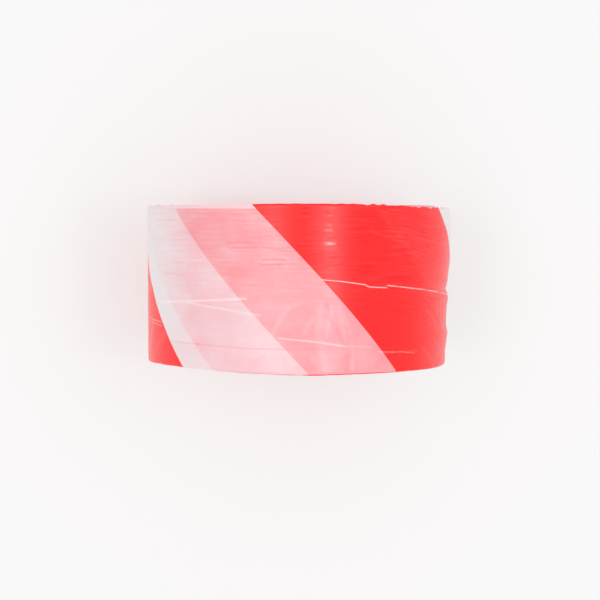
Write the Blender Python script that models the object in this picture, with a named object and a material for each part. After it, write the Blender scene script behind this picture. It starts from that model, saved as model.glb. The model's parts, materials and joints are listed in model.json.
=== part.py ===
"""Roll of striped barrier tape.

The roll is a paper core of five glued plies, a strip of adhesive tape that holds the
inner end of the film to the core, and one long strip of thin film wound on them. The
film's last turns are separate sheets on one spiral, and its free end is a tail of three
short lengths that peels away from the roll.

Metres, +Z up. The origin is the centre of the core's bore and +Y is the roll's axis. The
roll lies on its rolling surface, which its own weight flattens underneath. Winding angles
are counted from the top of the roll towards -X, the way that the film was wound.
"""
import math

import bmesh
import bpy
from mathutils import Vector

TAPE_WIDTH = 0.075
ROLL_RADIUS = 0.0725
CORE_BORE_RADIUS = 0.019
CORE_PLY_COUNT = 5
CORE_PLY_THICKNESS = 0.00036
CORE_SEAM_PITCH = 0.092
CORE_SEAM_GAP = 0.0003
FILM_THICKNESS = 0.0003
START_TAPE_LENGTH = 0.018
START_TAPE_THICKNESS = 0.0003
CONTACT_HALF_WIDTH = 0.008
TAIL_SEGMENT_LENGTH = 0.017
TAIL_SEGMENT_NAMES = ("tail_root", "tail_middle", "tail_tip")
TAIL_EDGE_INSET = 0.0003
CLEARANCE = 0.0003

TAIL_HINGE_ANGLE = math.radians(98.0)
START_TAPE_ANGLE = math.radians(40.0)
FIRST_SEAM_ANGLE = math.radians(47.0)
FILM_RAMP_ANGLE = math.radians(5.0)
ARC_STEP = math.radians(5.0)
CORE_ARC_STEP = math.radians(9.0)
CUTTER_OVERLAP = 0.001

FULL_TURN = 2.0 * math.pi
BOTTOM_ANGLE = math.pi
TURN_PITCH = FILM_THICKNESS + CLEARANCE
CONTACT_HALF_ANGLE = math.asin(CONTACT_HALF_WIDTH / ROLL_RADIUS)
PLY_PITCH = CORE_PLY_THICKNESS + CLEARANCE
CORE_OUTER_RADIUS = CORE_BORE_RADIUS + CORE_PLY_COUNT * PLY_PITCH - CLEARANCE
FILM_INNER_RADIUS = CORE_OUTER_RADIUS + CLEARANCE


def principled(name, colour, roughness):
    """A plain material with one colour and one roughness."""
    material = bpy.data.materials.new(name)
    material.use_nodes = True
    shader = material.node_tree.nodes["Principled BSDF"]
    shader.inputs["Base Color"].default_value = (*colour, 1.0)
    shader.inputs["Roughness"].default_value = roughness
    shader.inputs["Metallic"].default_value = 0.0
    return material


def film_radius(winding):
    """Radius of the film's outer face on the spiral of its last turns."""
    middle_of_outer_turn = TAIL_HINGE_ANGLE - 0.5 * FULL_TURN
    return ROLL_RADIUS + TURN_PITCH * (winding - middle_of_outer_turn) / FULL_TURN


def at_bottom(winding):
    """Winding angle straight below the axis that is nearest to this one."""
    turns = round((winding - BOTTOM_ANGLE) / FULL_TURN)
    return BOTTOM_ANGLE + turns * FULL_TURN


def film_point(winding, depth):
    """Point (x, z) a given depth under the spiral, flattened where the roll rests."""
    radius = film_radius(winding) - depth
    x = -radius * math.sin(winding)
    z = radius * math.cos(winding)
    bottom = at_bottom(winding)
    if abs(winding - bottom) < CONTACT_HALF_ANGLE + 1e-6:
        z = -(film_radius(bottom) - depth) * math.cos(CONTACT_HALF_ANGLE)
    return x, z


def circle_point(winding, radius):
    """Point (x, z) on a circle round the roll's axis."""
    return -radius * math.sin(winding), radius * math.cos(winding)


def subdivided(breaks, step):
    """Angles from the first break to the last that include every break."""
    angles = [breaks[0]]
    for start, end in zip(breaks, breaks[1:]):
        count = max(1, math.ceil((end - start) / step - 1e-6))
        angles += [start + (end - start) * i / count for i in range(1, count + 1)]
    return angles


def film_angles(start, end, extra=()):
    """Angles along a stretch of film, with the edges of the flattened patch."""
    breaks = [start, end]
    breaks += extra
    bottom = at_bottom(start) - FULL_TURN
    while bottom < end + FULL_TURN:
        breaks += [bottom - CONTACT_HALF_ANGLE, bottom + CONTACT_HALF_ANGLE]
        bottom += FULL_TURN
    inside = sorted(angle for angle in breaks if start - 1e-6 < angle < end + 1e-6)
    return subdivided(inside, ARC_STEP)


def add_object(name, mesh_data, material, origin=(0.0, 0.0), parent=None):
    """Turn a bmesh whose faces are in place into a named object."""
    bmesh.ops.recalc_face_normals(mesh_data, faces=mesh_data.faces[:])
    offset = Vector((origin[0], 0.0, origin[1]))
    bmesh.ops.translate(mesh_data, verts=mesh_data.verts[:], vec=-offset)
    mesh = bpy.data.meshes.new(name)
    mesh_data.to_mesh(mesh)
    mesh_data.free()
    if material:
        mesh.materials.append(material)
    mesh.shade_smooth()
    mesh.set_sharp_from_angle(angle=math.radians(35.0))
    piece = bpy.data.objects.new(name, mesh)
    bpy.context.collection.objects.link(piece)
    if parent is None:
        piece.location = offset
    else:
        piece.parent = parent
    return piece


def extrude_section(faces_points, width):
    """Bmesh of a flat section in the XZ plane, given as faces, drawn out along Y."""
    section = bmesh.new()
    made = {}
    for points in faces_points:
        corners = []
        for x, z in points:
            key = (round(x, 9), round(z, 9))
            if key not in made:
                made[key] = section.verts.new((x, -0.5 * width, z))
            corners.append(made[key])
        section.faces.new(corners)
    drawn = bmesh.ops.extrude_face_region(section, geom=section.faces[:])
    new_verts = [item for item in drawn["geom"] if isinstance(item, bmesh.types.BMVert)]
    bmesh.ops.translate(section, verts=new_verts, vec=(0.0, width, 0.0))
    return section


def sheet_section(outer, inner):
    """Quads between the two long sides of a bent sheet."""
    quads = []
    for i in range(len(outer) - 1):
        quads.append((outer[i], outer[i + 1], inner[i + 1], inner[i]))
    return quads


def seam_cutter(name, inner_radius, outer_radius, start_angle):
    """A thin fin on a helix, which leaves the butt seam of one spirally wound ply."""
    reach = 0.5 * TAPE_WIDTH + CUTTER_OVERLAP
    rows = math.ceil(2.0 * reach / CORE_SEAM_PITCH * FULL_TURN / CORE_ARC_STEP)
    half_gap = 0.5 * CORE_SEAM_GAP / inner_radius
    inside = inner_radius - CUTTER_OVERLAP
    outside = outer_radius + CUTTER_OVERLAP
    corners = ((inside, -half_gap), (outside, -half_gap), (outside, half_gap), (inside, half_gap))
    fin = bmesh.new()
    rings = []
    for row in range(rows + 1):
        y = -reach + 2.0 * reach * row / rows
        turned = start_angle + FULL_TURN * y / CORE_SEAM_PITCH
        ring = []
        for radius, aside in corners:
            x, z = circle_point(turned + aside, radius)
            ring.append(fin.verts.new((x, y, z)))
        rings.append(ring)
    for before, after in zip(rings, rings[1:]):
        for i in range(len(corners)):
            fin.faces.new((before[i], before[i - 1], after[i - 1], after[i]))
    fin.faces.new(rings[0])
    fin.faces.new(rings[-1])
    cutter = add_object(name, fin, None)
    cutter.hide_render = True
    cutter.display_type = "WIRE"
    return cutter


def build_core_plies(material):
    """The core: strips of kraft paper wound in spirals, each ply inside the next."""
    angles = subdivided([0.0, FULL_TURN], CORE_ARC_STEP)
    for index in range(CORE_PLY_COUNT):
        inner_radius = CORE_BORE_RADIUS + index * PLY_PITCH
        outer_radius = inner_radius + CORE_PLY_THICKNESS
        outer = [circle_point(angle, outer_radius) for angle in angles]
        inner = [circle_point(angle, inner_radius) for angle in angles]
        section = extrude_section(sheet_section(outer, inner), TAPE_WIDTH)
        ply = add_object(f"core_ply_{index + 1}", section, material)
        seam_angle = FIRST_SEAM_ANGLE + FULL_TURN * index / CORE_PLY_COUNT
        cut = ply.modifiers.new("seam", "BOOLEAN")
        cut.operation = "DIFFERENCE"
        cut.object = seam_cutter(f"{ply.name}_seam", inner_radius, outer_radius, seam_angle)


def start_tape_span():
    """Half of the angle that the start tape covers on the core."""
    return 0.5 * START_TAPE_LENGTH / FILM_INNER_RADIUS


def build_start_tape(material):
    """The strip of adhesive tape that holds the film's inner end on the core."""
    half = start_tape_span()
    angles = subdivided([START_TAPE_ANGLE - half, START_TAPE_ANGLE + half], CORE_ARC_STEP)
    inner_radius = FILM_INNER_RADIUS
    outer_radius = inner_radius + START_TAPE_THICKNESS
    outer = [circle_point(angle, outer_radius) for angle in angles]
    inner = [circle_point(angle, inner_radius) for angle in angles]
    add_object("start_tape", extrude_section(sheet_section(outer, inner), TAPE_WIDTH), material)


def build_wound_film(material):
    """The film under its last two turns, with a hollow ramped over the start tape."""
    start = TAIL_HINGE_ANGLE - 3.0 * FULL_TURN
    end = start + FULL_TURN
    centre = START_TAPE_ANGLE + FULL_TURN * math.ceil((start - START_TAPE_ANGLE) / FULL_TURN)
    raised_half = start_tape_span() + CLEARANCE / FILM_INNER_RADIUS
    ramp_half = raised_half + FILM_RAMP_ANGLE
    corners = [centre - ramp_half, centre - raised_half, centre + raised_half, centre + ramp_half]
    raise_height = START_TAPE_THICKNESS + CLEARANCE

    def bore_radius(winding):
        away = abs(winding - centre)
        share = (ramp_half - away) / FILM_RAMP_ANGLE
        return FILM_INNER_RADIUS + raise_height * min(1.0, max(0.0, share))

    angles = film_angles(start, end, corners)
    outer = [film_point(angle, 0.0) for angle in angles]
    inner = [circle_point(angle, bore_radius(angle)) for angle in angles]
    faces = sheet_section(outer, inner)
    faces[-1] = (outer[-2], outer[-1], outer[0], inner[0], inner[-2])
    add_object("wound_film", extrude_section(faces, TAPE_WIDTH), material)


def build_turn(name, end, material):
    """One full turn of film on the spiral, up to a winding angle."""
    gap = CLEARANCE / ROLL_RADIUS
    angles = film_angles(end - FULL_TURN + 0.5 * gap, end - 0.5 * gap)
    outer = [film_point(angle, 0.0) for angle in angles]
    inner = [film_point(angle, FILM_THICKNESS) for angle in angles]
    add_object(name, extrude_section(sheet_section(outer, inner), TAPE_WIDTH), material)


def build_tail(material):
    """The film's free end: three lengths, each on an axis along the crease before it."""
    gap = CLEARANCE / ROLL_RADIUS
    step = TAIL_SEGMENT_LENGTH / ROLL_RADIUS
    before = None
    before_point = (0.0, 0.0)
    for index, name in enumerate(TAIL_SEGMENT_NAMES):
        hinge_angle = TAIL_HINGE_ANGLE + index * step
        hinge_point = film_point(hinge_angle, 0.0)
        axis = bpy.data.objects.new(f"{name}_axis", None)
        bpy.context.collection.objects.link(axis)
        axis.parent = before
        axis.location = (hinge_point[0] - before_point[0], 0.0, hinge_point[1] - before_point[1])
        angles = film_angles(hinge_angle + 0.5 * gap, hinge_angle + step - 0.5 * gap)
        outer = [film_point(angle, 0.0) for angle in angles]
        inner = [film_point(angle, FILM_THICKNESS) for angle in angles]
        section = extrude_section(sheet_section(outer, inner), TAPE_WIDTH - 2.0 * TAIL_EDGE_INSET)
        add_object(name, section, material, origin=hinge_point, parent=axis)
        before = axis
        before_point = hinge_point


def build_roll():
    """Every piece of the roll, from the core outwards."""
    kraft = principled("kraft_paper", (0.44, 0.29, 0.17), 0.85)
    adhesive_tape = principled("adhesive_tape", (0.62, 0.45, 0.24), 0.35)
    packed_film = principled("packed_film", (0.82, 0.22, 0.24), 0.45)
    red_film = principled("red_film", (0.85, 0.045, 0.05), 0.35)
    white_film = principled("white_film", (0.85, 0.83, 0.83), 0.35)
    build_core_plies(kraft)
    build_start_tape(adhesive_tape)
    build_wound_film(packed_film)
    build_turn("second_turn", TAIL_HINGE_ANGLE - FULL_TURN, red_film)
    build_turn("outer_turn", TAIL_HINGE_ANGLE, white_film)
    build_tail(red_film)


for scene_object in list(bpy.data.objects):
    bpy.data.objects.remove(scene_object)
build_roll()
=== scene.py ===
import json
import math

import bmesh
import bpy
import numpy as np
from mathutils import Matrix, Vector


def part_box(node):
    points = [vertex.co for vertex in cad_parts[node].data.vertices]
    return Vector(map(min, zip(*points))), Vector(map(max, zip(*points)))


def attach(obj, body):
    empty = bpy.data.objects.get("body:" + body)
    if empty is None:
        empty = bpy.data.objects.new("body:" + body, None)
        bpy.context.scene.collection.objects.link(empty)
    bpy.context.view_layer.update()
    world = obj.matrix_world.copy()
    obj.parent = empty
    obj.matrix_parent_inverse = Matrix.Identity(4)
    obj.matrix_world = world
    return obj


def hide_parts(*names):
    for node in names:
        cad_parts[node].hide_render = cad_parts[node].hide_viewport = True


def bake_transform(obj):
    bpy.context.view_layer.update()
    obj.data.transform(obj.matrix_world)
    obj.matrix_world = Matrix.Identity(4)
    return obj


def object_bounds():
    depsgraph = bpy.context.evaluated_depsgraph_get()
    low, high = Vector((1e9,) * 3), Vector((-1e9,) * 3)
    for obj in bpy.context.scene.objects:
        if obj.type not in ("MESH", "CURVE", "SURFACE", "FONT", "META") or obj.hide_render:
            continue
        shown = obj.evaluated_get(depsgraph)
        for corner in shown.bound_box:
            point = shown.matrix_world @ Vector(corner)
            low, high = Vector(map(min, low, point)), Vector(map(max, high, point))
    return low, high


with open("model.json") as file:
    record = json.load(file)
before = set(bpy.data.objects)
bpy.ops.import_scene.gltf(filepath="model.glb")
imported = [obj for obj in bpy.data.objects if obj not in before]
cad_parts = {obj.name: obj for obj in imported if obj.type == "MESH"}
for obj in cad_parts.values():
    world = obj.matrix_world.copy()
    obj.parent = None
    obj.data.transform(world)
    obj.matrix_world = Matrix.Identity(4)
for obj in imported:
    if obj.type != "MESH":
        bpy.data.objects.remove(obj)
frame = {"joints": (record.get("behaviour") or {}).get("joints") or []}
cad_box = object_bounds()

# The view: a camera on a stand, pointing almost straight down at the roll, with the far
# edge of the film at the top of the frame.
camera = bpy.data.objects.new("camera", bpy.data.cameras.new("camera"))
bpy.context.scene.collection.objects.link(camera)
bpy.context.scene.camera = camera
camera.data.sensor_width = 36.0
CAMERA_LENS = 106.2
CAMERA_PLACE = (0.0010, 0.0361, 0.8538)
CAMERA_TILT = math.radians(-2.98)
camera.data.lens = CAMERA_LENS
camera.location = CAMERA_PLACE
camera.rotation_euler = (CAMERA_TILT, 0.0, 0.0)
bpy.context.scene.view_settings.view_transform = "Standard"
bpy.context.scene.view_settings.look = "None"


# The table: a plain white top, lit so evenly that it nearly disappears. Soft light comes
# from all round, and from two soft boxes, one over each side of the roll.
def add_node(tree, kind, inputs=None, **settings):
    """A node with its settings, and its inputs given as values or as sockets to link."""
    made = tree.nodes.new(kind)
    for name, value in settings.items():
        setattr(made, name, value)
    for key, value in (inputs or {}).items():
        if isinstance(value, bpy.types.NodeSocket):
            tree.links.new(value, made.inputs[key])
        else:
            made.inputs[key].default_value = value
    return made


def calc(tree, operation, *terms):
    """The result of a Math node."""
    return add_node(tree, "ShaderNodeMath", dict(enumerate(terms)), operation=operation).outputs[0]


def ease(tree, value, low, high, at_low=0.0, at_high=1.0):
    """A smooth step from one number to another as value goes from low to high."""
    inputs = {"Value": value, "From Min": low, "From Max": high, "To Min": at_low, "To Max": at_high}
    return add_node(tree, "ShaderNodeMapRange", inputs, interpolation_type="SMOOTHSTEP").outputs[0]


def mix_colour(tree, share, first, second):
    """Colour mixed from first to second by share. A colour is a socket or three numbers."""
    ends = [c if isinstance(c, bpy.types.NodeSocket) else (*c, 1.0) for c in (first, second)]
    inputs = {0: share, 6: ends[0], 7: ends[1]}
    return add_node(tree, "ShaderNodeMix", inputs, data_type="RGBA").outputs[2]


def new_material(name, **constants):
    """A material with a Principled BSDF, and the numbers that are the same all over it."""
    material = bpy.data.materials.new(name)
    material.use_nodes = True
    shader = material.node_tree.nodes["Principled BSDF"]
    for label, value in constants.items():
        shader.inputs[label.replace("_", " ")].default_value = value
    return material, material.node_tree, shader


def noise(tree, vector, scale=1.0, detail=3.0, roughness=0.5):
    """The strength of a Noise Texture, from 0 to 1."""
    inputs = {"Vector": vector, "Scale": scale, "Detail": detail, "Roughness": roughness}
    return add_node(tree, "ShaderNodeTexNoise", inputs).outputs[0]


def bump(tree, height, strength, distance):
    """A normal bent by a height."""
    inputs = {"Height": height, "Strength": strength, "Distance": distance}
    return add_node(tree, "ShaderNodeBump", inputs).outputs[0]


TABLE_HALF = 4.0
TABLE_GLOW = 0.395
ROOM_LIGHT = 0.88
BOX_DISTANCE = 1.1
RIGHT_LEAN = math.radians(23.0)
LEFT_LEAN = math.radians(-20.0)
floor_z = cad_box[0].z
table_mesh = bpy.data.meshes.new("table_top")
table_corners = [(-TABLE_HALF, -TABLE_HALF, floor_z), (TABLE_HALF, -TABLE_HALF, floor_z),
                 (TABLE_HALF, TABLE_HALF, floor_z), (-TABLE_HALF, TABLE_HALF, floor_z)]
table_mesh.from_pydata(table_corners, [], [(0, 1, 2, 3)])
table_top = bpy.data.objects.new("table_top", table_mesh)
bpy.context.scene.collection.objects.link(table_top)
table_material, tree, shader = new_material("table_white", Roughness=0.9)
shader.inputs["Specular IOR Level"].default_value = 0.1
place = add_node(tree, "ShaderNodeTexCoord").outputs["Object"]
cloud = noise(tree, place, scale=9.0, detail=4.0)
tree.links.new(mix_colour(tree, cloud, (0.495, 0.495, 0.495), (0.505, 0.504, 0.504)),
               shader.inputs["Base Color"])
shader.inputs["Emission Color"].default_value = (1.0, 1.0, 1.0, 1.0)
shader.inputs["Emission Strength"].default_value = TABLE_GLOW
table_mesh.materials.append(table_material)

world = bpy.data.worlds.new("studio")
bpy.context.scene.world = world
world.use_nodes = True
world.node_tree.nodes["Background"].inputs["Color"].default_value = (1.0, 1.0, 1.0, 1.0)
world.node_tree.nodes["Background"].inputs["Strength"].default_value = ROOM_LIGHT


def soft_box(name, lean, distance, size, watts, y=0.0):
    """A rectangular light over the roll, leaning over towards +X by an angle."""
    light = bpy.data.lights.new(name, "AREA")
    light.shape = "RECTANGLE"
    light.size, light.size_y = size
    light.energy = watts
    holder = bpy.data.objects.new(name, light)
    bpy.context.scene.collection.objects.link(holder)
    holder.location = (distance * math.sin(lean), y, distance * math.cos(lean))
    holder.rotation_euler = (0.0, lean, 0.0)


soft_box("right_box", RIGHT_LEAN, BOX_DISTANCE, (0.40, 0.50), 1.2)
soft_box("right_lamp", RIGHT_LEAN, BOX_DISTANCE, (0.11, 0.05), 0.55)
soft_box("left_box", LEFT_LEAN, BOX_DISTANCE, (0.36, 0.50), 1.2)
soft_box("left_lamp", 0.8 * LEFT_LEAN, BOX_DISTANCE, (0.26, 0.08), 0.36, y=-0.02)
soft_box("top_box", 0.0, 1.7, (1.6, 1.6), 1.2)


# The core: strips of kraft paper wound in spirals on a mandrel and glued, each ply over
# the last, with a butt seam that runs round it like a barber's pole. The tube is cut to
# the film's width, which leaves slightly fuzzy ends.
def new_tree(name, inputs):
    """A Geometry Nodes tree that makes a mesh from its inputs, and its input sockets by name."""
    tree = bpy.data.node_groups.new(name, "GeometryNodeTree")
    tree.interface.new_socket(name="Geometry", in_out="OUTPUT", socket_type="NodeSocketGeometry")
    for label, kind, value in inputs:
        socket = tree.interface.new_socket(name=label, in_out="INPUT", socket_type=kind)
        if value is not None:
            socket.default_value = value
    start = tree.nodes.new("NodeGroupInput")
    return tree, start.outputs


def end_tree(tree, geometry, material):
    """Close a tree: smooth shading, real instances, the material, and the output."""
    smooth = add_node(tree, "GeometryNodeSetShadeSmooth", {"Geometry": geometry}).outputs[0]
    real = add_node(tree, "GeometryNodeRealizeInstances", {"Geometry": smooth}).outputs[0]
    made = add_node(tree, "GeometryNodeSetMaterial", {"Geometry": real, "Material": material})
    add_node(tree, "NodeGroupOutput", {"Geometry": made.outputs[0]})


def from_tree(name, tree, values, thickness=0.0):
    """Run a tree with its own values and keep the plain mesh it makes as a piece."""
    piece = bpy.data.objects.new(name, bpy.data.meshes.new(name))
    bpy.context.scene.collection.objects.link(piece)
    maker = piece.modifiers.new("maker", "NODES")
    maker.node_group = tree
    for item in tree.interface.items_tree:
        if item.in_out == "INPUT" and item.name in values:
            maker[item.identifier] = values[item.name]
    if thickness:
        wall = piece.modifiers.new("wall", "SOLIDIFY")
        wall.thickness = thickness
        wall.offset = -1.0
    ready = piece.evaluated_get(bpy.context.evaluated_depsgraph_get())
    mesh = bpy.data.meshes.new_from_object(ready)
    piece.modifiers.clear()
    piece.data = mesh
    mesh.name = name
    return piece


def grid_mesh(tree, across, along):
    """A unit grid, with its x and y moved to run from 0 to 1."""
    inputs = {"Size X": 1.0, "Size Y": 1.0, "Vertices X": across, "Vertices Y": along}
    grid = add_node(tree, "GeometryNodeMeshGrid", inputs).outputs["Mesh"]
    where = add_node(tree, "GeometryNodeInputPosition").outputs[0]
    parts = add_node(tree, "ShaderNodeSeparateXYZ", {0: where}).outputs
    return grid, calc(tree, "ADD", parts[0], 0.5), calc(tree, "ADD", parts[1], 0.5)


def round_axis(tree, angle, radius, y):
    """A point at a winding angle round the roll's axis, and its height."""
    x = calc(tree, "MULTIPLY", calc(tree, "MULTIPLY", radius, -1.0), calc(tree, "SINE", angle))
    z = calc(tree, "MULTIPLY", radius, calc(tree, "COSINE", angle))
    return x, y, z


FULL_TURN = 2.0 * math.pi
ply_boxes = [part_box(f"core_ply_{n + 1}") for n in range(5)]
ply_radii = [0.5 * (high.z - low.z) for low, high in ply_boxes]
bore_radius = ply_radii[0] - (ply_radii[1] - ply_radii[0]) * 0.55
tape_width = ply_boxes[0][1].y - ply_boxes[0][0].y

kraft, tree, shader = new_material("kraft_paper", Roughness=0.88)
shader.inputs["Specular IOR Level"].default_value = 0.25
place = add_node(tree, "ShaderNodeTexCoord").outputs["Object"]
parts = add_node(tree, "ShaderNodeSeparateXYZ", {0: place}).outputs
turned = calc(tree, "ARCTAN2", parts[0], parts[2])
fibre_place = add_node(tree, "ShaderNodeCombineXYZ", {
    0: calc(tree, "MULTIPLY_ADD", turned, 6.0, calc(tree, "MULTIPLY", parts[1], 420.0)),
    1: calc(tree, "MULTIPLY", parts[1], 1500.0),
    2: calc(tree, "MULTIPLY", turned, 30.0)}).outputs[0]
fibres = noise(tree, fibre_place, scale=1.0, detail=5.0, roughness=0.65)
flecks = noise(tree, place, scale=900.0, detail=2.0)
blotches = noise(tree, place, scale=70.0, detail=3.0)
tone = mix_colour(tree, ease(tree, fibres, 0.3, 0.7), (0.42, 0.275, 0.155), (0.56, 0.39, 0.235))
tone = mix_colour(tree, ease(tree, flecks, 0.62, 0.72), tone, (0.25, 0.15, 0.08))
tone = mix_colour(tree, ease(tree, blotches, 0.35, 0.75, 0.0, 0.35), tone, (0.63, 0.47, 0.31))
tree.links.new(tone, shader.inputs["Base Color"])
tree.links.new(bump(tree, fibres, 0.5, 0.0001), shader.inputs["Normal"])

ply_tree, given = new_tree("spiral_ply", [
    ("Radius", "NodeSocketFloat", 0.019), ("Width", "NodeSocketFloat", 0.075),
    ("Seam Start", "NodeSocketFloat", 0.0), ("Seam Pitch", "NodeSocketFloat", 0.092),
    ("Seam Gap", "NodeSocketFloat", 0.0004), ("Fuzz", "NodeSocketFloat", 0.00012),
    ("Material", "NodeSocketMaterial", None)])
grid, u, v = grid_mesh(ply_tree, 121, 61)
side = calc(ply_tree, "SUBTRACT", v, 0.5)
level = calc(ply_tree, "MULTIPLY", side, given["Width"])
around = calc(ply_tree, "SUBTRACT", FULL_TURN, calc(ply_tree, "DIVIDE", given["Seam Gap"], given["Radius"]))
twist = calc(ply_tree, "DIVIDE", calc(ply_tree, "MULTIPLY", level, FULL_TURN), given["Seam Pitch"])
angle = calc(ply_tree, "ADD", calc(ply_tree, "ADD", twist, given["Seam Start"]),
             calc(ply_tree, "MULTIPLY", u, around))
fuzz_place = add_node(ply_tree, "ShaderNodeCombineXYZ", {
    0: calc(ply_tree, "MULTIPLY", calc(ply_tree, "SINE", angle), 9.0),
    1: calc(ply_tree, "MULTIPLY", given["Radius"], 4000.0),
    2: calc(ply_tree, "MULTIPLY", calc(ply_tree, "COSINE", angle), 9.0)}).outputs[0]
fuzz = calc(ply_tree, "SUBTRACT", noise(ply_tree, fuzz_place, detail=3.0), 0.5)
near_end = ease(ply_tree, calc(ply_tree, "ABSOLUTE", side), 0.47, 0.5)
pushed = calc(ply_tree, "MULTIPLY", calc(ply_tree, "MULTIPLY", fuzz, given["Fuzz"]), near_end)
level = calc(ply_tree, "ADD", level, calc(ply_tree, "MULTIPLY", pushed, calc(ply_tree, "SIGN", side)))
x, y, z = round_axis(ply_tree, angle, given["Radius"], level)
spot = add_node(ply_tree, "ShaderNodeCombineXYZ", {0: x, 1: y, 2: z}).outputs[0]
bent = add_node(ply_tree, "GeometryNodeSetPosition", {"Geometry": grid, "Position": spot}).outputs[0]
end_tree(ply_tree, bent, given["Material"])

PLY_GLUE_LINE = 0.00003
PLY_END_STEP = 0.0003
FIRST_SEAM_ANGLE = math.radians(47.0)
for n, outer_radius in enumerate(ply_radii):
    start_radius = bore_radius if n == 0 else ply_radii[n - 1] + PLY_GLUE_LINE
    ply = from_tree(f"kraft_ply_{n + 1}", ply_tree, {
        "Radius": start_radius, "Width": tape_width - PLY_END_STEP * abs(n - 2),
        "Seam Start": FIRST_SEAM_ANGLE + FULL_TURN * n / len(ply_radii), "Material": kraft},
        thickness=outer_radius - start_radius)
    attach(ply, "roll")
    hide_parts(f"core_ply_{n + 1}")


# The start tape: a strip of brown adhesive tape, stuck across the film's inner end and
# the core, and buried under the first turn.
tape_brown, tree, shader = new_material("brown_adhesive_tape", Roughness=0.32)
place = add_node(tree, "ShaderNodeTexCoord").outputs["Object"]
streaks = add_node(tree, "ShaderNodeMapping", {"Vector": place, "Scale": (900.0, 40.0, 900.0)}).outputs[0]
film_lines = noise(tree, streaks, detail=3.0)
tree.links.new(mix_colour(tree, film_lines, (0.55, 0.36, 0.16), (0.68, 0.49, 0.26)),
               shader.inputs["Base Color"])
tree.links.new(bump(tree, film_lines, 0.3, 0.0001), shader.inputs["Normal"])
tape_low, tape_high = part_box("start_tape")
tape_ends = (math.atan2(-tape_high.x, tape_high.z), math.atan2(-tape_low.x, tape_low.z))
tape_angle = 0.5 * (tape_ends[0] + tape_ends[1])
tape_radius = ply_radii[-1] + PLY_GLUE_LINE
START_TAPE_THICKNESS = 0.00012
START_TAPE_SET_IN = 0.0002
NO_TWIST_PITCH = 1000.0
brown_tape = from_tree("brown_start_tape", ply_tree, {
    "Radius": tape_radius, "Width": tape_width - 2.0 * START_TAPE_SET_IN, "Seam Start": tape_ends[0],
    "Seam Gap": tape_radius * (FULL_TURN - tape_ends[1] + tape_ends[0]),
    "Seam Pitch": NO_TWIST_PITCH, "Fuzz": 0.0, "Material": tape_brown},
    thickness=START_TAPE_THICKNESS)
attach(brown_tape, "roll")
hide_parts("start_tape")


# The wound film: about 1,600 turns pulled tight on the core. On the two ends only the
# edges of the turns show, not quite in line, since the film wandered as it was wound. The
# printed stripes fall almost in step where a turn is one or two repeats of them long.
STRIPE_REPEAT = 0.2056
REAL_FILM = 0.00003
hinge_points = [Vector(joint["pos_m"]) for joint in frame["joints"]]
hinge_angles = [math.atan2(-point.x, point.z) for point in hinge_points]
roll_radius = math.hypot(hinge_points[0].x, hinge_points[0].z)
FLANK_TUCK = 0.0022
FLANK_ANGLE = math.radians(-92.0)
LEFT_INSET = 0.0007
FAR_SET = 0.0016
FAR_SET_ANGLE = math.radians(-70.0)
NEAR_SET = 0.0014
NEAR_SET_ANGLE = math.radians(50.0)
OVER_TAPE_RISE = 0.00018

film_edges, tree, shader = new_material("film_edges", Roughness=0.42)
place = add_node(tree, "ShaderNodeTexCoord").outputs["Object"]
parts = add_node(tree, "ShaderNodeSeparateXYZ", {0: place}).outputs
radius = calc(tree, "SQRT", calc(tree, "ADD", calc(tree, "POWER", parts[0], 2.0),
                                 calc(tree, "POWER", parts[2], 2.0)))
turned = calc(tree, "ARCTAN2", parts[0], parts[2])
ring_place = add_node(tree, "ShaderNodeCombineXYZ", {
    0: calc(tree, "MULTIPLY", radius, 2600.0), 1: calc(tree, "MULTIPLY", calc(tree, "SINE", turned), 0.5),
    2: calc(tree, "MULTIPLY", calc(tree, "COSINE", turned), 0.5)}).outputs[0]
rings = noise(tree, ring_place, detail=4.0, roughness=0.7)
band_place = add_node(tree, "ShaderNodeCombineXYZ", {
    0: calc(tree, "MULTIPLY", radius, 260.0), 1: calc(tree, "MULTIPLY", parts[0], 12.0),
    2: calc(tree, "MULTIPLY", parts[2], 12.0)}).outputs[0]
bands = noise(tree, band_place, detail=2.0)
tone = mix_colour(tree, ease(tree, rings, 0.28, 0.72), (0.86, 0.22, 0.25), (0.95, 0.50, 0.52))
tone = mix_colour(tree, ease(tree, bands, 0.3, 0.7, 0.0, 0.45), tone, (0.90, 0.30, 0.33))
for repeats in (1, 2):
    in_step = repeats * STRIPE_REPEAT / FULL_TURN
    away = calc(tree, "SUBTRACT", radius, in_step)
    swirl = calc(tree, "DIVIDE", calc(tree, "POWER", away, 2.0), REAL_FILM * STRIPE_REPEAT / math.pi)
    phase = calc(tree, "MULTIPLY_ADD", turned, repeats / FULL_TURN, swirl)
    wave = calc(tree, "SINE", calc(tree, "MULTIPLY", phase, FULL_TURN))
    is_red = ease(tree, wave, -0.35, 0.35)
    seen = ease(tree, calc(tree, "ABSOLUTE", away), 0.0012, 0.0046, 0.85, 0.0)
    arms = mix_colour(tree, is_red, (0.93, 0.74, 0.75), (0.88, 0.07, 0.09))
    tone = mix_colour(tree, seen, tone, arms)
tree.links.new(tone, shader.inputs["Base Color"])
tree.links.new(bump(tree, rings, 0.6, 0.00025), shader.inputs["Normal"])

pack_tree, given = new_tree("wound_pack", [
    ("Inner Radius", "NodeSocketFloat", 0.022), ("Outer Radius", "NodeSocketFloat", 0.072),
    ("Width", "NodeSocketFloat", 0.075), ("Ring Wander", "NodeSocketFloat", 0.0004),
    ("Slow Wander", "NodeSocketFloat", 0.0009), ("Floor", "NodeSocketFloat", -0.072),
    ("Material", "NodeSocketMaterial", None)])
FACE_SHARE = 0.47
WALL_SHARE = 0.5 - FACE_SHARE
grid, u, v = grid_mesh(pack_tree, 301, 241)


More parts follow.
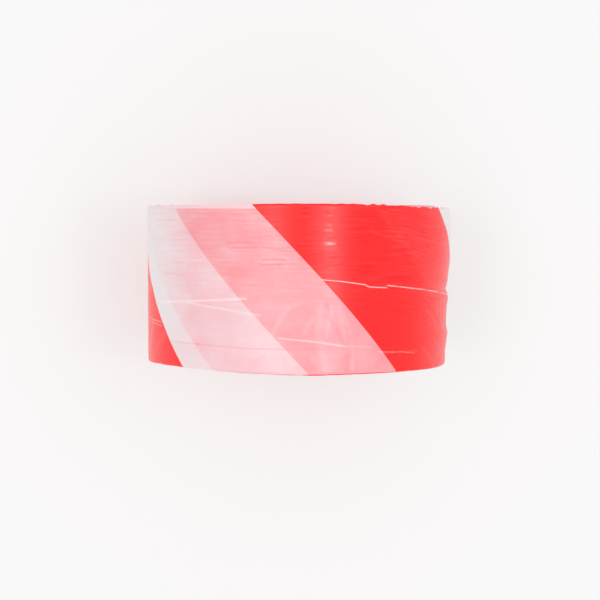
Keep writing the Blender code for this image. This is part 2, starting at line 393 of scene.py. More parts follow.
def ramp(tree, value, start, length):
    """A straight climb from 0 to 1 that begins at start."""
    inputs = {"Value": value, "From Min": start, "From Max": start + length}
    return add_node(tree, "ShaderNodeMapRange", inputs).outputs[0]


def lobe(tree, angle, centre, width):
    """1 at one winding angle, falling to 0 a certain angle away on both sides."""
    facing = calc(tree, "COSINE", calc(tree, "SUBTRACT", angle, centre))
    return ease(tree, facing, math.cos(width), 1.0)


outwards = calc(pack_tree, "SUBTRACT", ramp(pack_tree, u, 0.0, FACE_SHARE),
                ramp(pack_tree, u, 0.5, FACE_SHARE))
side = calc(pack_tree, "SUBTRACT", ramp(pack_tree, u, FACE_SHARE, WALL_SHARE),
            ramp(pack_tree, u, 1.0 - WALL_SHARE, WALL_SHARE))
side = calc(pack_tree, "MULTIPLY_ADD", side, 2.0, -1.0)
angle = calc(pack_tree, "MULTIPLY", v, FULL_TURN)
near_share = ease(pack_tree, side, 0.15, 0.40, 1.0, 0.0)
squeezed = calc(pack_tree, "MULTIPLY", calc(pack_tree, "MULTIPLY", near_share, FLANK_TUCK),
                lobe(pack_tree, angle, FLANK_ANGLE, math.radians(52.0)))
squeezed = calc(pack_tree, "MULTIPLY_ADD", lobe(pack_tree, angle, 0.5 * math.pi, math.radians(60.0)),
                LEFT_INSET, squeezed)
over_tape = lobe(pack_tree, angle, tape_angle, math.radians(62.0))
over_tape = calc(pack_tree, "MINIMUM", calc(pack_tree, "MULTIPLY", over_tape, 4.0), 1.0)
over_tape = calc(pack_tree, "MULTIPLY", over_tape, OVER_TAPE_RISE)
inside = calc(pack_tree, "ADD", given["Inner Radius"], over_tape)
outside = calc(pack_tree, "SUBTRACT", given["Outer Radius"], squeezed)
radius = calc(pack_tree, "MULTIPLY_ADD", calc(pack_tree, "SUBTRACT", outside, inside), outwards, inside)
ring_place = add_node(pack_tree, "ShaderNodeCombineXYZ", {
    0: calc(pack_tree, "MULTIPLY", radius, 900.0),
    1: calc(pack_tree, "MULTIPLY", calc(pack_tree, "SINE", angle), 0.35),
    2: calc(pack_tree, "MULTIPLY_ADD", side, 7.0,
            calc(pack_tree, "MULTIPLY", calc(pack_tree, "COSINE", angle), 0.35))}).outputs[0]
ring_wander = calc(pack_tree, "SUBTRACT", noise(pack_tree, ring_place, detail=3.0, roughness=0.6), 0.5)
slow_place = add_node(pack_tree, "ShaderNodeCombineXYZ", {
    0: calc(pack_tree, "MULTIPLY", radius, 110.0), 1: side,
    2: calc(pack_tree, "MULTIPLY", calc(pack_tree, "SINE", angle), 0.3)}).outputs[0]
slow_wander = calc(pack_tree, "SUBTRACT", noise(pack_tree, slow_place, detail=1.0), 0.5)
wander = calc(pack_tree, "MULTIPLY_ADD", ring_wander, given["Ring Wander"],
              calc(pack_tree, "MULTIPLY", slow_wander, given["Slow Wander"]))
far_share = calc(pack_tree, "MULTIPLY_ADD", side, 0.5, 0.5)
outermost = ease(pack_tree, radius, 0.064, 0.0715)
far_set = calc(pack_tree, "MULTIPLY_ADD", lobe(pack_tree, angle, FAR_SET_ANGLE, math.radians(70.0)),
               0.0006, FAR_SET)
near_set = calc(pack_tree, "MULTIPLY", lobe(pack_tree, angle, NEAR_SET_ANGLE, math.radians(80.0)),
                NEAR_SET)
set_in = add_node(pack_tree, "ShaderNodeMix", {0: far_share, 2: near_set, 3: far_set}).outputs[0]
half_width = calc(pack_tree, "MULTIPLY_ADD", given["Width"], 0.5, wander)
half_width = calc(pack_tree, "SUBTRACT", half_width, calc(pack_tree, "MULTIPLY", set_in, outermost))
x, y, z = round_axis(pack_tree, angle, radius, calc(pack_tree, "MULTIPLY", side, half_width))
z = calc(pack_tree, "MAXIMUM", z, given["Floor"])
spot = add_node(pack_tree, "ShaderNodeCombineXYZ", {0: x, 1: y, 2: z}).outputs[0]
bent = add_node(pack_tree, "GeometryNodeSetPosition", {"Geometry": grid, "Position": spot}).outputs[0]
merging = {"Geometry": bent, "Distance": 0.000002}
joined = add_node(pack_tree, "GeometryNodeMergeByDistance", merging).outputs[0]
end_tree(pack_tree, joined, given["Material"])

FILM_STEP = 0.00012
CORE_CLEARANCE = 0.00002
PACK_SET_IN = 0.0003
pack = from_tree("film_pack", pack_tree, {
    "Inner Radius": ply_radii[-1] + CORE_CLEARANCE, "Outer Radius": roll_radius - 4.0 * FILM_STEP,
    "Width": tape_width - 2.0 * PACK_SET_IN, "Floor": floor_z + 3.0 * FILM_STEP,
    "Material": film_edges})
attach(pack, "roll")
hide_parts("wound_film")


# The last turns of film: thin, glossy polyethylene printed with red and white stripes on
# a slant. White film lets about half of what lies under it through, so that the stripes of
# the next turns show faintly, each turn's moved on by what a turn has over two repeats.
FILM_WHITE = (0.80, 0.752, 0.757)
FILM_RED = (1.0, 0.012, 0.014)
RED_UNDER = (0.90, 0.011, 0.013)
PALE_UNDER = (0.94, 0.42, 0.46)
STRIPE_LEAN = 0.908
RED_MIDDLE = 0.0638
RED_HALF_WIDTH = 0.0502
STRIPE_BOW = 0.0013
TURN_SHIFT = 0.0443
WHITE_COVER = 0.446
BLUE_COVER = 0.035
RED_COVER = 0.985
OVERHANG_START = 0.0357


def new_group(name, inputs, outputs):
    """A shader node group with named float inputs and outputs given as (name, kind)."""
    group = bpy.data.node_groups.new(name, "ShaderNodeTree")
    for label, value in inputs:
        socket = group.interface.new_socket(name=label, in_out="INPUT", socket_type="NodeSocketFloat")
        socket.default_value = value
    for label, kind in outputs:
        group.interface.new_socket(name=label, in_out="OUTPUT", socket_type=kind)
    return group, group.nodes.new("NodeGroupInput").outputs


def use_group(tree, group, inputs):
    """A group placed in a tree, as its output sockets."""
    made = tree.nodes.new("ShaderNodeGroup")
    made.node_tree = group
    for key, value in inputs.items():
        if isinstance(value, bpy.types.NodeSocket):
            tree.links.new(value, made.inputs[key])
        else:
            made.inputs[key].default_value = value
    return made.outputs


stripe_group, given = new_group("printed_stripe", [("Along", 0.0), ("Across", 0.0), ("Soft", 0.0002)],
                                [("Red", "NodeSocketFloat")])
slanted = calc(stripe_group, "MULTIPLY_ADD", given["Across"], STRIPE_LEAN, given["Along"])
from_red = calc(stripe_group, "SUBTRACT", slanted, RED_MIDDLE)
from_red = calc(stripe_group, "PINGPONG", from_red, 0.5 * STRIPE_REPEAT)
red = ease(stripe_group, from_red, calc(stripe_group, "SUBTRACT", RED_HALF_WIDTH, given["Soft"]),
           calc(stripe_group, "ADD", RED_HALF_WIDTH, given["Soft"]), 1.0, 0.0)
add_node(stripe_group, "NodeGroupOutput", {"Red": red})

ripple_group, given = new_group("film_ripples", [("Along", 0.0), ("Across", 0.0)],
                                [("Fine", "NodeSocketFloat"), ("Broad", "NodeSocketFloat"),
                                 ("Mottle", "NodeSocketFloat"), ("Height", "NodeSocketFloat")])
fine_place = add_node(ripple_group, "ShaderNodeCombineXYZ", {
    0: calc(ripple_group, "MULTIPLY", given["Along"], 48.0),
    1: calc(ripple_group, "MULTIPLY", given["Across"], 760.0)}).outputs[0]
fine = noise(ripple_group, fine_place, detail=2.0, roughness=0.6)
broad_place = add_node(ripple_group, "ShaderNodeCombineXYZ", {
    0: calc(ripple_group, "MULTIPLY", given["Along"], 70.0),
    1: calc(ripple_group, "MULTIPLY", given["Across"], 90.0), 2: 3.7}).outputs[0]
broad = noise(ripple_group, broad_place, detail=3.0, roughness=0.55)
mottle_place = add_node(ripple_group, "ShaderNodeCombineXYZ", {
    0: calc(ripple_group, "MULTIPLY", given["Along"], 420.0),
    1: calc(ripple_group, "MULTIPLY", given["Across"], 380.0), 2: 8.1}).outputs[0]
mottle = noise(ripple_group, mottle_place, detail=2.0, roughness=0.6)
upper = ease(ripple_group, given["Across"], -0.024, 0.010, 0.12, 1.0)
patchy = ease(ripple_group, broad, 0.40, 0.62, 0.25, 1.0)
fine = calc(ripple_group, "MULTIPLY", calc(ripple_group, "SUBTRACT", fine, 0.5),
            calc(ripple_group, "MULTIPLY", upper, patchy))
height = calc(ripple_group, "MULTIPLY_ADD", calc(ripple_group, "SUBTRACT", mottle, 0.5), 0.05, fine)
height = calc(ripple_group, "MULTIPLY_ADD", calc(ripple_group, "SUBTRACT", broad, 0.5), 0.5, height)
add_node(ripple_group, "NodeGroupOutput",
         {"Fine": fine, "Broad": broad, "Mottle": mottle, "Height": height})

LAYERS_SEEN = 4
stack_group, given = new_group("stacked_film", [("Along", 0.0), ("Across", 0.0), ("Cling And Edge Sheen", 0.0)],
                               [("Colour", "NodeSocketColor"), ("Red", "NodeSocketFloat")])
bow = calc(stack_group, "POWER", calc(stack_group, "DIVIDE", given["Across"], 0.038), 2.0)
bow = calc(stack_group, "MULTIPLY_ADD", bow, -STRIPE_BOW, STRIPE_BOW)
bow = calc(stack_group, "MULTIPLY", bow, ease(stack_group, given["Along"], -0.07, -0.03))
top_along = calc(stack_group, "SUBTRACT", given["Along"], bow)
under_along = calc(stack_group, "MULTIPLY_ADD", given["Across"], 0.03, given["Along"])
colour = None
for layer in reversed(range(LAYERS_SEEN)):
    shifted = calc(stack_group, "ADD", under_along if layer else top_along, layer * TURN_SHIFT)
    red = use_group(stack_group, stripe_group, {
        "Along": shifted, "Across": given["Across"], "Soft": 0.00016 + 0.00035 * layer})[0]
    own = mix_colour(stack_group, red, FILM_WHITE, RED_UNDER if layer else FILM_RED)
    if colour is None:
        colour = own
        continue
    if layer == 0:
        over_edge = ease(stack_group, given["Across"], OVERHANG_START, OVERHANG_START + 0.0003)
        colour = mix_colour(stack_group, over_edge, colour, PALE_UNDER)
        # Painted shadow: a thin darker line along the edge of the turn that lies under the outer film.
        edge_painted_shadow = calc(stack_group, "SUBTRACT", given["Across"], OVERHANG_START)
        edge_painted_shadow = ease(stack_group, calc(stack_group, "ABSOLUTE", edge_painted_shadow), 0.0, 0.00035, 0.40, 0.0)
        colour = mix_colour(stack_group, edge_painted_shadow, colour, (0.85, 0.20, 0.24))
    # The white film's cover is raised where it lifts off the turn under it, and towards the roll's outline
    # as a painted sheen.
    white_cover = calc(stack_group, "ADD", given["Cling And Edge Sheen"], WHITE_COVER)
    covers = []
    for extra in (-0.5 * BLUE_COVER, 0.0, BLUE_COVER):
        channel = calc(stack_group, "ADD", white_cover, extra)
        covers.append(add_node(stack_group, "ShaderNodeMix", {0: red, 2: channel, 3: RED_COVER}).outputs[0])
    cover = add_node(stack_group, "ShaderNodeCombineXYZ", dict(enumerate(covers))).outputs[0]
    mixed = add_node(stack_group, "ShaderNodeMix", {1: cover, 4: colour, 5: own},
                     data_type="VECTOR", factor_mode="NON_UNIFORM")
    colour = mixed.outputs[1]
add_node(stack_group, "NodeGroupOutput", {"Colour": colour, "Red": red})

film_layers, tree, shader = new_material("film_layers", Roughness=0.3, Specular_IOR_Level=0.36)
on_film = add_node(tree, "ShaderNodeUVMap", uv_map="film").outputs[0]
parts = add_node(tree, "ShaderNodeSeparateXYZ", {0: on_film}).outputs
ripples = use_group(tree, ripple_group, {"Along": parts[0], "Across": parts[1]})
# How much more the white film hides: where it lifts off the turn under it, which is its own look, and,
# added below, a painted sheen at the outline.
cling_and_edge_sheen = calc(tree, "MULTIPLY", ripples["Fine"], 0.34)
cling_and_edge_sheen = calc(tree, "MULTIPLY_ADD", calc(tree, "SUBTRACT", ripples["Broad"], 0.5), 0.30, cling_and_edge_sheen)
cling_and_edge_sheen = calc(tree, "MULTIPLY_ADD", calc(tree, "SUBTRACT", ripples["Mottle"], 0.5), 0.03, cling_and_edge_sheen)
# Painted sheen: where the film is seen at a slant, towards the roll's outline, it is made paler, standing
# for the pale reflection of the room there.
slant = add_node(tree, "ShaderNodeLayerWeight", {"Blend": 0.5}).outputs["Facing"]
cling_and_edge_sheen = calc(tree, "ADD", cling_and_edge_sheen, ease(tree, slant, 0.25, 0.80, 0.0, 0.34))
stack = use_group(tree, stack_group, {"Along": parts[0], "Across": parts[1], "Cling And Edge Sheen": cling_and_edge_sheen})
pale_fold_and_highlight = add_node(tree, "ShaderNodeAttribute", attribute_name="fold_pale_and_highlight").outputs["Fac"]
red_fold = add_node(tree, "ShaderNodeAttribute", attribute_name="fold_red").outputs["Fac"]
painted_shade_and_dust = add_node(tree, "ShaderNodeAttribute", attribute_name="crease_shade_and_dust").outputs["Fac"]
polish = add_node(tree, "ShaderNodeAttribute", attribute_name="polish").outputs["Fac"]
# Pale creases whitened in the film, together with a painted highlight on raised wrinkles; on the red they
# show less.
on_red = calc(tree, "POWER", pale_fold_and_highlight, 1.7)
pale_fold_and_highlight = add_node(tree, "ShaderNodeMix", {0: stack["Red"], 2: pale_fold_and_highlight, 3: on_red}).outputs[0]
tone = mix_colour(tree, pale_fold_and_highlight, stack["Colour"], (0.93, 0.84, 0.85))
tone = mix_colour(tree, red_fold, tone, (0.93, 0.22, 0.27))
# Painted highlight and painted shade on the red: the crests of the fine ripples are painted lighter and
# their hollows darker.
ripple_painted_highlight = calc(tree, "MULTIPLY", ease(tree, ripples["Fine"], 0.01, 0.13, 0.0, 0.32), stack["Red"])
tone = mix_colour(tree, ripple_painted_highlight, tone, (1.0, 0.060, 0.064))
ripple_painted_shade = ease(tree, ripples["Fine"], -0.11, -0.01, 0.70, 0.0)
painted_shade_and_dust = calc(tree, "MAXIMUM", painted_shade_and_dust, calc(tree, "MULTIPLY", ripple_painted_shade, stack["Red"]))
# Painted shade in grooves, sunken wrinkles and ripple hollows; the same mark holds two specks of dust.
tone = mix_colour(tree, painted_shade_and_dust, tone, (0.86, 0.0, 0.002))
tree.links.new(tone, shader.inputs["Base Color"])
rough = ease(tree, ripples["Mottle"], 0.3, 0.7, 0.27, 0.31)
rough = add_node(tree, "ShaderNodeMix", {0: polish, 2: rough, 3: 0.05}).outputs[0]
tree.links.new(rough, shader.inputs["Roughness"])
height = calc(tree, "MULTIPLY", ripples["Height"], ease(tree, polish, 0.0, 0.25, 1.0, 0.0))
tree.links.new(bump(tree, height, 0.4, 0.00016), shader.inputs["Normal"])

# Creases that were pressed into the film as it was wound, with the shade in the sunken ones painted in, and
# two specks of dust: places in millimetres round the roll from its top towards +X, and across the film;
# then width, height and how strong.
WHITE_CREASES = (
    (((11, 4.3), (19, 3.6), (31.2, 1.9), (32.6, 0.9), (41.9, 0.4), (43.1, 1.3), (97, -4.6), (150, -9)),
     0.24, 0.07, 0.95),
    (((-79, -7.4), (-47, -5.6), (-24, -4.2)), 0.45, 0.05, 0.50),
    (((-56, -6.6), (-35, -9.0), (-17, -11.6)), 0.45, 0.04, 0.34),
    (((-97, -15.8), (-77.3, -16.7)), 0.22, 0.04, 0.70),
    (((-94, -16.9), (-76.9, -18.6)), 0.22, 0.04, 0.60),
    (((-8, -21.6), (6, -23.0), (21, -25.3)), 0.38, 0.05, 0.42),
    (((21, -25.3), (34, -25.9)), 0.35, 0.03, 0.18),
    (((38, -28.3), (50, -28.9), (60, -29.9)), 0.18, 0.04, 0.55),
    (((40, -29.3), (53, -28.6), (62, -29.0)), 0.16, 0.03, 0.30),
    (((-83, 11.9), (-64, 12.4), (-46, 12.7)), 0.40, 0.03, 0.20),
    (((20.8, -11.4), (24.1, -20.4), (24.8, -36)), 0.65, 0.05, 0.13),
    (((18.5, -7.8), (21.8, -23.9)), 0.80, 0.04, 0.10),
    (((9.9, -7.7), (9.0, -20.1), (12.6, -36)), 1.6, 0.05, 0.10),
    (((15.3, -7.8), (14.4, -14.9), (12.6, -20.2)), 1.0, 0.05, 0.12),
    (((-11.5, -20.1), (-4.3, -7.7), (1.0, -5.9)), 1.1, 0.05, 0.12),
    (((6.3, -13.0), (2.8, -19.2)), 1.0, 0.04, 0.10),
    (((-90.2, -36), (-74.1, -20.7)), 0.9, 0.03, 0.22),
    (((-80.9, -33), (-72.1, -21.5)), 0.7, 0.03, 0.14),
    (((-96, -37), (-94.4, -25.8), (-89.9, -17.9)), 1.6, 0.03, 0.28),
    (((33.3, 25.8), (39.6, 24.0), (47.5, 21.7), (57.7, 17.0), (68.5, 14.5)), 0.45, 0.05, 0.12),
    (((53.0, 20.7), (60.6, 17.9)), 0.35, 0.04, 0.14),
    (((56.4, 16.1), (66.8, 11.8)), 0.35, 0.05, 0.14),
    (((10.8, 31.2), (23.6, 29.8), (38.5, 27.6)), 0.40, 0.04, 0.07),
    (((9.9, 33.4), (28.4, 32.9), (46.3, 32.0)), 0.40, 0.04, 0.06),
    (((66.9, -4.7), (75, -8.2), (83.8, -12.9)), 0.60, 0.08, 0.13),
    (((63.7, -7.3), (78.7, -17.3)), 0.8, 0.06, 0.05),
)
RED_CREASES = (
    (((-69, -24.9), (-48, -25.3), (-22, -26.4), (21, -26.3)), 0.20, 0.02, 0.50),
    (((-49.2, -25.2), (-47.6, -25.4)), 0.50, 0.02, 0.80),
)
# Grooves painted darker as painted shade, and, last, two specks of dust.
SHADED_CREASES_AND_DUST = (
    (((1.0, 13.6), (9.9, 13.7), (18.9, 14.4), (33.4, 15.1)), 0.40, -0.05, 0.24),
    (((18.0, 19.2), (49.9, 19.4)), 0.45, -0.03, 0.14),
    (((15.3, 10.4), (24.5, 10.8)), 0.40, -0.03, 0.14),
    (((18.9, -0.7), (33.4, -0.8)), 0.35, -0.03, 0.14),
    (((18.9, -2.5), (33.4, -3.8)), 0.40, -0.03, 0.17),
    (((-15.5, 13.1), (-10, 13.3), (-5.6, 13.1)), 0.26, -0.04, 0.38),
    (((-16.9, 10.8), (-6.5, 11.1)), 0.24, -0.04, 0.38),
    (((-14.6, 9.3), (-7.0, 9.5)), 0.22, -0.04, 0.31),
    (((-33.1, 20.3), (-27, 20.9), (-20.5, 20.8)), 0.35, -0.03, 0.24),
    (((-32.1, 18.2), (-17.8, 18.6)), 0.35, -0.03, 0.22),
    (((-16, 18.6), (-8, 18.2), (-2, 18.9)), 0.25, -0.03, 0.24),
    (((17.1, -15.8), (20.8, -23.9)), 0.9, -0.05, 0.17),
    (((23.2, -27.5), (22.3, -36)), 0.9, -0.04, 0.12),
    (((12.5, -7.0), (13.4, -8.6)), 0.9, -0.05, 0.19),
    (((14.4, -13.2), (15.2, -15.0)), 0.8, -0.05, 0.19),
    (((-46.8, 31.2), (-46.6, 31.3)), 0.22, -0.02, 0.45),
    (((-7.5, 17.2), (-7.3, 17.2)), 0.22, -0.02, 0.45),
)
POLISHED_SPOTS = (
    (((12.0, 20.3), (16.2, 20.3)), 0.62, 0.0, 1.0),
    (((12.8, 26.1), (15.4, 26.1)), 0.40, 0.0, 0.55),
    (((13.0, 28.6), (14.8, 28.6)), 0.32, 0.0, 0.35),
    (((13.0, 32.6), (14.8, 32.6)), 0.32, 0.0, 0.30),
)


def wrinkle_fan(seed, count, along, across, lengths, slope, width, height, strength):
    """A scatter of short straight wrinkles over a patch of film, with rising or falling slopes."""
    chance = np.random.default_rng(seed)
    made = []
    for _ in range(count):
        u0, y0 = chance.uniform(*along), chance.uniform(*across)
        reach = chance.uniform(*lengths)
        climb = chance.uniform(*slope)
        bend = chance.uniform(-0.03, 0.03) * reach
        middle = (u0 + 0.5 * reach, y0 + 0.5 * reach * climb + bend)
        size = chance.uniform(0.4, 1.0)
        sign = chance.choice((-1.0, 1.0))
        made.append((((u0, y0), middle, (u0 + reach, y0 + reach * climb)),
                     width * chance.uniform(0.7, 1.3), sign * height * size, strength * size))
    return made


WRINKLES = (wrinkle_fan(41, 90, (-95, 60), (3, 36), (7, 26), (-0.04, 0.04), 0.30, 0.024, 0.09)
            + wrinkle_fan(42, 26, (38, 62), (14, 36), (14, 30), (-0.30, -0.10), 0.34, 0.050, 0.34)
            + wrinkle_fan(43, 30, (66, 92), (-36, -10), (5, 12), (-1.3, -0.5), 0.42, 0.090, 0.55)
            + wrinkle_fan(44, 26, (-24, 34), (-34, -4), (3, 9), (-1.6, 1.6), 0.60, 0.030, 0.04)
            + wrinkle_fan(45, 16, (78, 105), (-36, 34), (6, 16), (-0.5, 0.2), 0.6, 0.09, 0.03))
FAR_EDGE = ((-180, 36.9), (-115, 36.0), (-80, 36.0), (-57, 36.2), (-46, 36.6), (-35, 37.3),
            (-22, 37.9), (0, 38.05), (14, 38.0), (20, 37.6), (45, 37.4), (73, 37.0), (110, 37.3),
            (180, 37.5))
NEAR_EDGE = ((-180, -37.5), (-110, -37.8), (-72, -38.4), (-57, -38.3), (-50, -38.0), (-38, -37.7),
             (-26, -37.55), (-16, -37.55), (-11, -37.8), (0, -37.9), (9, -37.3), (18, -37.0),
             (35, -36.6), (57, -36.2), (80, -36.8), (120, -37.5), (180, -37.5))
FLANK_PROFILE = ((-38, -1.9), (-32, -1.8), (-27, -1.1), (-23.5, -0.7), (-20, -1.4), (-12, -1.2),
                 (-7, -0.5), (-4.7, -0.8), (-2.8, -1.6), (0.9, -0.86), (6.6, -0.24), (10, 0.2),
                 (14, 0.57), (17, 0.65), (25, 0.8), (34, 0.0), (38, -0.3))
MILLIMETRE = 0.001


def smooth_step(values, low, high):
    """0 below low, 1 above high, and a smooth rise between them."""
    share = np.clip((values - low) / (high - low), 0.0, 1.0)
    return share * share * (3.0 - 2.0 * share)


def waves(seed, count, along, across, along_length, across_length):
    """A sum of small waves on the film, longer along it than across it, about -1 to 1."""
    chance = np.random.default_rng(seed)
    total = np.zeros(np.broadcast(along, across).shape)
    for _ in range(count):
        turn_rate = FULL_TURN / (along_length * chance.uniform(0.6, 2.2))
        cross_rate = FULL_TURN / (across_length * chance.uniform(0.6, 2.2))
        total += np.sin(turn_rate * chance.choice((-1, 1)) * along + cross_rate * across
                        + chance.uniform(0.0, FULL_TURN))
    return total / math.sqrt(count)


def edge_places(angles, points, seed, raggedness):
    """Where an edge of the film runs across the roll, at each winding angle."""
    wrapped = np.degrees((angles + math.pi) % FULL_TURN - math.pi)
    knots = np.array(points, float)
    smooth = np.zeros(len(angles))
    for nudge in np.linspace(-9.0, 9.0, 7):
        smooth += np.interp((wrapped + nudge + 180.0) % 360.0 - 180.0, knots[:, 0], knots[:, 1]) / 7.0
    rough = waves(seed, 14, angles * roll_radius, np.zeros(1), 0.009, 1.0)
    return smooth * MILLIMETRE + rough * raggedness


def left_inset(angles):
    """How far the film lies inside its circle on the -X side."""
    return LEFT_INSET * smooth_step(np.cos(angles - 0.5 * math.pi), math.cos(math.radians(55.0)), 0.95)


def film_radius(angles, places, depth):
    """Radius of a turn of film, dented and tucked in on the +X side where it was pressed."""
    rise = FILM_STEP * (hinge_angles[0] - angles) / FULL_TURN
    knots = np.array(FLANK_PROFILE, float) * MILLIMETRE
    dented = np.interp(places, knots[:, 0], knots[:, 1])
    flank_share = smooth_step(np.cos(angles - FLANK_ANGLE), math.cos(math.radians(48.0)), 0.97)
    return roll_radius - rise - depth + dented * flank_share - left_inset(angles)


def film_points(angles, places, radius, depth):
    """Points on the film, pressed flat where the roll rests on the table."""
    x = -radius * np.sin(angles)
    z = np.maximum(radius * np.cos(angles), floor_z + depth)
    return np.stack(np.broadcast_arrays(x, places, z), axis=-1)


def crease_share(creases, along, across, heights=False):
    """How strongly each point lies on a crease, or how high the crease stands there."""
    total = np.zeros(along.shape)
    for points, width, height, strength in creases:
        nearest = np.full(along.shape, 1.0)
        for (x0, y0), (x1, y1) in zip(points, points[1:]):
            run = np.array((x1 - x0, y1 - y0)) * MILLIMETRE
            dx = along - x0 * MILLIMETRE
            dy = across - y0 * MILLIMETRE
            share = np.clip((dx * run[0] + dy * run[1]) / (run @ run), 0.0, 1.0)
            nearest = np.minimum(nearest, np.hypot(dx - share * run[0], dy - share * run[1]))
        shape = np.exp(-(nearest / (width * MILLIMETRE)) ** 2)
        if heights:
            total += shape * height * MILLIMETRE
        else:
            total = np.maximum(total, shape * strength)
    return total


def film_shell(name, outer, inner, along, across, shares=()):
    """A closed thin sheet: a fine outer side and an inner side with fewer rows."""
    count, rows = outer.shape[:2]
    inner_rows = inner.shape[1]
    step = (rows - 1) // (inner_rows - 1)
    first_inner = count * rows
    verts = np.concatenate((outer.reshape(-1, 3), inner.reshape(-1, 3)))
    faces = []
    for i in range(count - 1):
        for j in range(rows - 1):
            a = i * rows + j
            faces.append((a, a + rows, a + rows + 1, a + 1))
        for j in range(inner_rows - 1):
            a = first_inner + i * inner_rows + j
            faces.append((a, a + 1, a + inner_rows + 1, a + inner_rows))
        for a, b in ((i * rows, first_inner + i * inner_rows),
                     (i * rows + rows - 1, first_inner + (i + 1) * inner_rows - 1)):
            faces.append((a, b, b + inner_rows, a + rows))
    for i in (0, count - 1):
        for j in range(inner_rows - 1):
            outer_run = [i * rows + j * step + k for k in range(step + 1)]
            a = first_inner + i * inner_rows + j
            faces.append((*outer_run, a + 1, a))
    mesh = bpy.data.meshes.new(name)
    mesh.from_pydata([tuple(point) for point in verts], [], faces)
    inner_along = along[:, ::step]
    inner_across = across[:, ::step]
    flat = np.stack((np.concatenate((along.ravel(), inner_along.ravel())),
                     np.concatenate((across.ravel(), inner_across.ravel()))), axis=-1)
    corners = np.zeros(len(mesh.loops), int)
    mesh.loops.foreach_get("vertex_index", corners)
    mesh.uv_layers.new(name="film").data.foreach_set("uv", flat[corners].ravel())
    for label, values in shares:
        stored = mesh.attributes.new(label, "FLOAT", "POINT")
        both = np.concatenate((values.ravel(), np.zeros(count * inner_rows)))
        stored.data.foreach_set("value", both.astype(np.float32))
    work = bmesh.new()
    work.from_mesh(mesh)
    bmesh.ops.recalc_face_normals(work, faces=work.faces[:])
    work.to_mesh(mesh)
    work.free()
    mesh.shade_smooth()
    mesh.set_sharp_from_angle(angle=math.radians(50.0))
    piece = bpy.data.objects.new(name, mesh)
    bpy.context.scene.collection.objects.link(piece)
    return piece


def finer_on_top(start, end, columns):
    """Angles round a turn, twice as close together over the top as underneath."""
    steady = np.linspace(start, end, 4001)
    density = 1.0 + 1.2 * smooth_step(np.cos(steady), math.cos(math.radians(115.0)), 0.2)
    counted = np.concatenate(((0.0,), np.cumsum(0.5 * (density[1:] + density[:-1]))))
    return np.interp(np.linspace(0.0, counted[-1], columns), counted, steady)


FINE_RIPPLE = 0.000007
SLOW_RIPPLE = 0.00005
EDGE_DROP = 0.00022
GLINT_PLACE = (0.0141, 0.0203)
GLINT_HALF_SIZE = (0.007, 0.0026)


def film_turn(name, end_angle, depth, columns, rows, inner_rows, edge_seeds, extra_edges, creased):
    """One turn of film that ends at the tail's hinge, with its own edges and ripples."""
    angles = finer_on_top(end_angle - FULL_TURN, end_angle, columns)
    far = edge_places(angles, FAR_EDGE, edge_seeds[0], 0.00006) + extra_edges[0](angles)
    near = edge_places(angles, NEAR_EDGE, edge_seeds[1], 0.00006) + extra_edges[1](angles)
    share = np.linspace(0.0, 1.0, rows)[None, :]
    places = near[:, None] + (far - near)[:, None] * share
    grid_angles = np.repeat(angles[:, None], rows, axis=1)
    along = -roll_radius * grid_angles
    radius = film_radius(grid_angles, places, depth)
    radius -= EDGE_DROP * smooth_step(np.abs(share - 0.5), 0.487, 0.5)
    upper = 0.35 + 0.65 * smooth_step(places, -0.02, 0.012)
    calm = np.exp(-((along - GLINT_PLACE[0]) / GLINT_HALF_SIZE[0]) ** 4
                  - ((places - GLINT_PLACE[1]) / GLINT_HALF_SIZE[1]) ** 4)
    ripples = FINE_RIPPLE * (1.0 - calm) * upper * waves(12, 30, along, places, 0.045, 0.0021)
    radius += SLOW_RIPPLE * (1.0 - calm) * waves(13, 16, along, places, 0.11, 0.011)
    shares = ()
    if creased:
        every_crease = WHITE_CREASES + RED_CREASES + SHADED_CREASES_AND_DUST + tuple(WRINKLES)
        radius += (1.0 - calm) * crease_share(every_crease, along, places, heights=True)
        # Raised wrinkles get a painted highlight and sunken ones a painted shade.
        raised_painted_highlight = [(*crease[:3], 0.5 * crease[3]) for crease in WRINKLES if crease[2] > 0.0]
        sunken_painted_shade = [(*crease[:3], 2.0 * crease[3]) for crease in WRINKLES if crease[2] < 0.0]
        polish = crease_share(POLISHED_SPOTS, along, places)
        shares = (("fold_pale_and_highlight", crease_share(WHITE_CREASES + tuple(raised_painted_highlight), along, places)),
                  ("fold_red", crease_share(RED_CREASES, along, places)),
                  ("crease_shade_and_dust", crease_share(SHADED_CREASES_AND_DUST + tuple(sunken_painted_shade), along, places)),
                  ("polish", polish))
    radius += ripples
    outer = film_points(grid_angles, places, radius, depth)
    step = (rows - 1) // (inner_rows - 1)
    lowest = radius.copy()
    lowest[:, 1:] = np.minimum(lowest[:, 1:], radius[:, :-1])
    lowest[:, :-1] = np.minimum(lowest[:, :-1], radius[:, 1:])
    inner = film_points(grid_angles, places, lowest - 0.5 * FILM_STEP, depth + 0.6 * FILM_STEP)
    inner = inner[:, ::step]
    return film_shell(name, outer, inner, along, places, shares)


def flush(angles):
    """An edge that follows the turn over it."""
    return np.zeros(len(angles))


def frayed(angles):
    """An edge pulled about more on the +X side of the top, in waves a few millimetres long."""
    beside = smooth_step(-roll_radius * angles, 0.0, 0.045)
    return beside * 0.00034 * waves(15, 14, -roll_radius * angles, np.zeros(1), 0.008, 1.0)


def peeks_near(angles):
    """The second turn stands out by half a millimetre under the near edge, beside the top."""
    wrapped = (angles + math.pi) % FULL_TURN - math.pi
    middle = smooth_step(np.cos(wrapped + math.radians(6.0)), math.cos(math.radians(42.0)), 0.93)
    return -0.00042 * middle


def set_in_far(angles):
    """At the far edge it stops almost two millimetres short of the turn over it."""
    return np.full(len(angles), -0.0018)


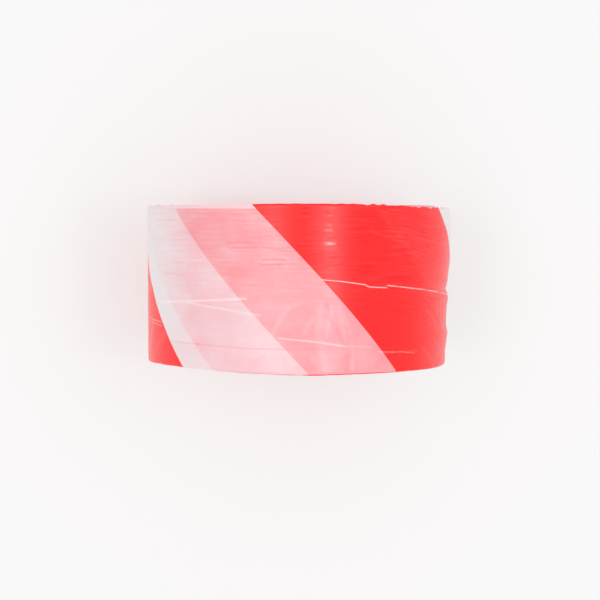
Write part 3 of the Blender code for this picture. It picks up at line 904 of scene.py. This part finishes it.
outer_turn = film_turn("film_outer_turn", hinge_angles[0], 0.0, 281, 231, 116, (11, 14),
                       (frayed, flush), creased=True)
second_turn = film_turn("film_second_turn", hinge_angles[0] - FULL_TURN, FILM_STEP, 281, 61, 31,
                        (21, 22), (set_in_far, peeks_near), creased=False)
for piece, node in ((outer_turn, "outer_turn"), (second_turn, "second_turn")):
    piece.data.materials.append(film_layers)
    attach(piece, "roll")
    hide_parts(node)


# The tail: the film's cut end, 51 mm of it, which clings to the roll until a finger lifts
# it. A single thickness lets light through, and its last centimetre has sprung up a little.
tail_film, tree, shader = new_material("tail_film", Roughness=0.3)
on_film = add_node(tree, "ShaderNodeUVMap", uv_map="film").outputs[0]
parts = add_node(tree, "ShaderNodeSeparateXYZ", {0: on_film}).outputs
ripples = use_group(tree, ripple_group, {"Along": parts[0], "Across": parts[1]})
red = use_group(tree, stripe_group, {"Along": parts[0], "Across": parts[1], "Soft": 0.00016})[0]
tree.links.new(mix_colour(tree, red, (0.86, 0.83, 0.84), (1.0, 0.01, 0.014)), shader.inputs["Base Color"])
white_alpha = ease(tree, ripples["Broad"], 0.25, 0.75, 0.30, 0.42)
red_alpha = ease(tree, ripples["Broad"], 0.25, 0.75, 0.70, 0.80)
alpha = add_node(tree, "ShaderNodeMix", {0: red, 2: white_alpha, 3: red_alpha}).outputs[0]
seen = add_node(tree, "ShaderNodeLightPath").outputs["Is Camera Ray"]
alpha = calc(tree, "MULTIPLY", alpha, calc(tree, "MULTIPLY_ADD", seen, 0.8, 0.2))
tree.links.new(alpha, shader.inputs["Alpha"])
tree.links.new(ease(tree, ripples["Mottle"], 0.3, 0.7, 0.24, 0.36), shader.inputs["Roughness"])
tree.links.new(bump(tree, ripples["Height"], 0.4, 0.0003), shader.inputs["Normal"])

TAIL_THICKNESS = 0.00006
TAIL_LIFT = 0.0022
TAIL_SET_IN = 0.0003
TAIL_COLUMNS = 41
TAIL_ROWS = 151
tail_step = hinge_angles[1] - hinge_angles[0]
tail_end = hinge_angles[-1] + tail_step
for index, joint in enumerate(frame["joints"]):
    start = hinge_angles[index]
    angles = np.linspace(start, start + tail_step, TAIL_COLUMNS)
    far = edge_places(angles, FAR_EDGE, 31, 0.00008) - TAIL_SET_IN
    near = edge_places(angles, NEAR_EDGE, 32, 0.00008) + TAIL_SET_IN
    share = np.linspace(0.0, 1.0, TAIL_ROWS)[None, :]
    places = near[:, None] + (far - near)[:, None] * share
    grid_angles = np.repeat(angles[:, None], TAIL_ROWS, axis=1)
    along = -roll_radius * grid_angles
    lifted = smooth_step(grid_angles, hinge_angles[0], tail_end + 0.25 * tail_step)
    crimp = 0.00035 * waves(33, 18, along, places, 0.05, 0.013)
    radius = roll_radius + TAIL_THICKNESS - left_inset(grid_angles) + lifted * (TAIL_LIFT + crimp)
    radius += 0.00002 * waves(34, 20, along, places, 0.045, 0.002) * smooth_step(lifted, 0.0, 0.2)
    ragged = 0.0004 * waves(35, 10, np.zeros(1), places, 1.0, 0.010)
    ragged += 0.00015 * waves(36, 10, np.zeros(1), places, 1.0, 0.002)
    last_part = smooth_step(grid_angles, tail_end - 0.5 * tail_step, tail_end)
    grid_angles = grid_angles + last_part * ragged / roll_radius
    outer = film_points(grid_angles, places, radius, 0.0)
    inner = film_points(grid_angles, places, radius - TAIL_THICKNESS, 0.0)
    tail = film_shell(f"film_{joint['child']}", outer, inner, along, places)
    tail.data.materials.append(tail_film)
    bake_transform(tail)
    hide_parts(joint["child"])
